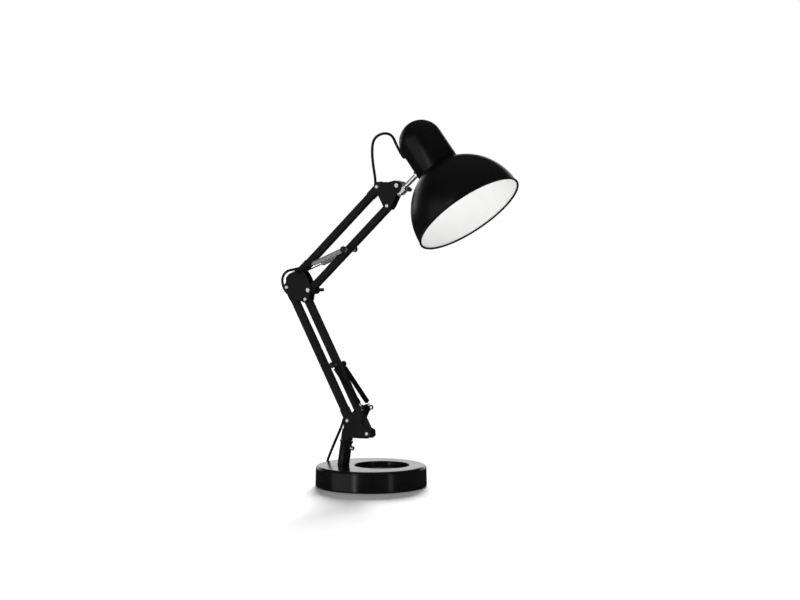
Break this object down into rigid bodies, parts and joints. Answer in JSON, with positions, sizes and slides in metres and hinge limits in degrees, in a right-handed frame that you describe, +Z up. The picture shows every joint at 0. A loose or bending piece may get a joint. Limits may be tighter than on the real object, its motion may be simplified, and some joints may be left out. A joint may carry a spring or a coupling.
{
  "type": "swing arm desk lamp",
  "caption": "Desk lamp with a round weighted base, two sprung parallel arms joined by an elbow, and a tilting bell shade on a cylindrical socket cup.",
  "frame": {"origin": "middle of the round base's underside, on the table", "axes": "+Z up; the two arms swing in an upright plane parallel to XZ, which passes 19 mm to the -Y side of the origin, and the shade reaches towards +X; the floor lead lies towards -X and +Y"},
  "size_m": [0.3532, 0.2399, 0.4854],
  "materials": {
    "base_black": "gloss black lacquer",
    "arm_black": "satin black powder coat",
    "shade_black": "satin black outside; the inside is white enamel",
    "chrome": "polished",
    "spring_steel": "bright drawn wire",
    "spring_black": "blackened spring wire",
    "zinc_steel": "zinc plated",
    "brass": "bare",
    "cast_iron": "as cast",
    "pad": "matt foam rubber",
    "black_plastic": "fine texture",
    "switch_plastic": "moulded",
    "holder_plastic": "moulded black thermoset",
    "cord": "smooth black sheath"
  },
  "bodies": {
    "base": {"base_shell": "base_black", "base_weight": "cast_iron", "base_bottom_plate": "zinc_steel", "base_pad": "pad", "base_screws": "zinc_steel", "post_tube": "base_black", "post_stud": "zinc_steel", "post_nut": "zinc_steel", "lead_drop": "cord", "lead_link": "cord", "lead_coil": "cord", "lead_plug_end": "cord", "lead_tie": "black_plastic", "plug_body": "switch_plastic", "plug_pins": "chrome", "switch_case_bottom": "switch_plastic", "switch_case_top": "switch_plastic"},
    "thumb_screw": {"post_thumb_screw": "chrome"},
    "rocker": {"switch_rocker": "switch_plastic"},
    "swivel": {"base_bracket_near": "arm_black", "base_bracket_far": "arm_black", "base_bracket_rivets": "chrome", "swivel_spigot": "arm_black", "lower_spring_hooks": "arm_black"},
    "lower_left_arm": {"lower_left_tube": "arm_black", "lower_left_sleeves": "arm_black", "lower_cord_run": "cord"},
    "lower_right_arm": {"lower_right_tube": "arm_black", "lower_spring_pin": "chrome", "lower_spring_knobs": "black_plastic", "lower_springs": "spring_black"},
    "elbow": {"elbow_plate_near": "arm_black", "elbow_plate_far": "arm_black", "elbow_rivets": "chrome", "elbow_bolt": "chrome", "upper_spring_axle": "arm_black", "elbow_loop": "cord"},
    "elbow_nut": {"elbow_wing_nut": "black_plastic"},
    "upper_left_arm": {"upper_left_tube": "arm_black", "upper_left_sleeves": "arm_black", "upper_cord_run": "cord"},
    "upper_right_arm": {"upper_right_tube": "arm_black", "upper_spring_pin": "chrome", "upper_spring_knobs": "black_plastic", "upper_springs": "spring_steel"},
    "head_bracket": {"head_plate_near": "arm_black", "head_plate_far": "arm_black", "head_rivets": "chrome", "tilt_bolt": "chrome", "head_loop": "cord"},
    "tilt_nut": {"tilt_wing_nut": "black_plastic"},
    "knuckle": {"tilt_knuckle": "chrome"},
    "head": {"head_rod": "chrome", "rod_collars_and_nuts": "chrome", "socket_cup": "shade_black", "shade": "shade_black", "shade_ring": "shade_black", "lampholder_body": "holder_plastic", "lampholder_contacts": "brass", "cord_gland": "black_plastic"}
  },
  "joints": [
    {"name": "thumb_screw_turn", "type": "hinge", "parent": "base", "child": "thumb_screw", "pos_m": [-0.02816, -0.01931, 0.05288], "axis": [0.9874, 0, -0.1582], "range_deg": [0, 360]},
    {"name": "rocker_tilt", "type": "hinge", "parent": "base", "child": "rocker", "pos_m": [-0.10509, 0.07685, 0.0085], "axis": [0.9397, 0.342, 0], "range_deg": [-7, 0]},
    {"name": "post_swivel", "type": "hinge", "parent": "base", "child": "swivel", "pos_m": [-0.02677, -0.01931, 0.06157], "axis": [0.1582, 0, 0.9874], "range_deg": [-90, 90], "deforming": ["lead_drop"]},
    {"name": "lower_arm_swing", "type": "hinge", "parent": "swivel", "child": "lower_left_arm", "pos_m": [-0.02147, -0.01931, 0.08867], "axis": [0, 1, 0], "range_deg": [-15, 60], "deforming": ["lead_drop", "lower_springs"]},
    {"name": "lower_right_arm_swing", "type": "hinge", "parent": "swivel", "child": "lower_right_arm", "pos_m": [0.00933, -0.01931, 0.07287], "axis": [0, 1, 0], "range_deg": [-15, 60], "deforming": ["lower_springs"]},
    {"name": "elbow_plate_turn", "type": "hinge", "parent": "lower_left_arm", "child": "elbow", "pos_m": [-0.12019, -0.01931, 0.26605], "axis": [0, 1, 0], "range_deg": [-60, 15], "deforming": ["elbow_loop"]},
    {"name": "elbow_nut_turn", "type": "hinge", "parent": "elbow", "child": "elbow_nut", "pos_m": [-0.08459, -0.00931, 0.26255], "axis": [0, 1, 0], "range_deg": [-180, 180]},
    {"name": "upper_arm_swing", "type": "hinge", "parent": "elbow", "child": "upper_left_arm", "pos_m": [-0.10019, -0.01931, 0.28775], "axis": [0, 1, 0], "range_deg": [-50, 60], "deforming": ["elbow_loop", "upper_springs"]},
    {"name": "upper_right_arm_swing", "type": "hinge", "parent": "elbow", "child": "upper_right_arm", "pos_m": [-0.08459, -0.01931, 0.26255], "axis": [0, 1, 0], "range_deg": [-50, 60], "deforming": ["upper_springs"]},
    {"name": "head_bracket_turn", "type": "hinge", "parent": "upper_left_arm", "child": "head_bracket", "pos_m": [0.02505, -0.01931, 0.39972], "axis": [0, 1, 0], "range_deg": [-60, 50], "deforming": ["head_loop"]},
    {"name": "tilt_nut_turn", "type": "hinge", "parent": "head_bracket", "child": "tilt_nut", "pos_m": [0.05565, -0.00931, 0.40072], "axis": [0, 1, 0], "range_deg": [-180, 180]},
    {"name": "head_tilt", "type": "hinge", "parent": "head_bracket", "child": "knuckle", "pos_m": [0.05565, -0.01931, 0.40072], "axis": [0, 1, 0], "range_deg": [-40, 35], "deforming": ["head_loop"]},
    {"name": "head_turn", "type": "hinge", "parent": "knuckle", "child": "head", "pos_m": [0.06025, -0.01931, 0.39532], "axis": [0.7615, 0, 0.6481], "range_deg": [-60, 60], "deforming": ["head_loop"]}
  ],
  "couplings": [
    {"joint": "lower_right_arm_swing", "follows": "lower_arm_swing", "ratio": 1},
    {"joint": "elbow_plate_turn", "follows": "lower_arm_swing", "ratio": -1},
    {"joint": "upper_right_arm_swing", "follows": "upper_arm_swing", "ratio": 1},
    {"joint": "head_bracket_turn", "follows": "upper_arm_swing", "ratio": -1}
  ]
}
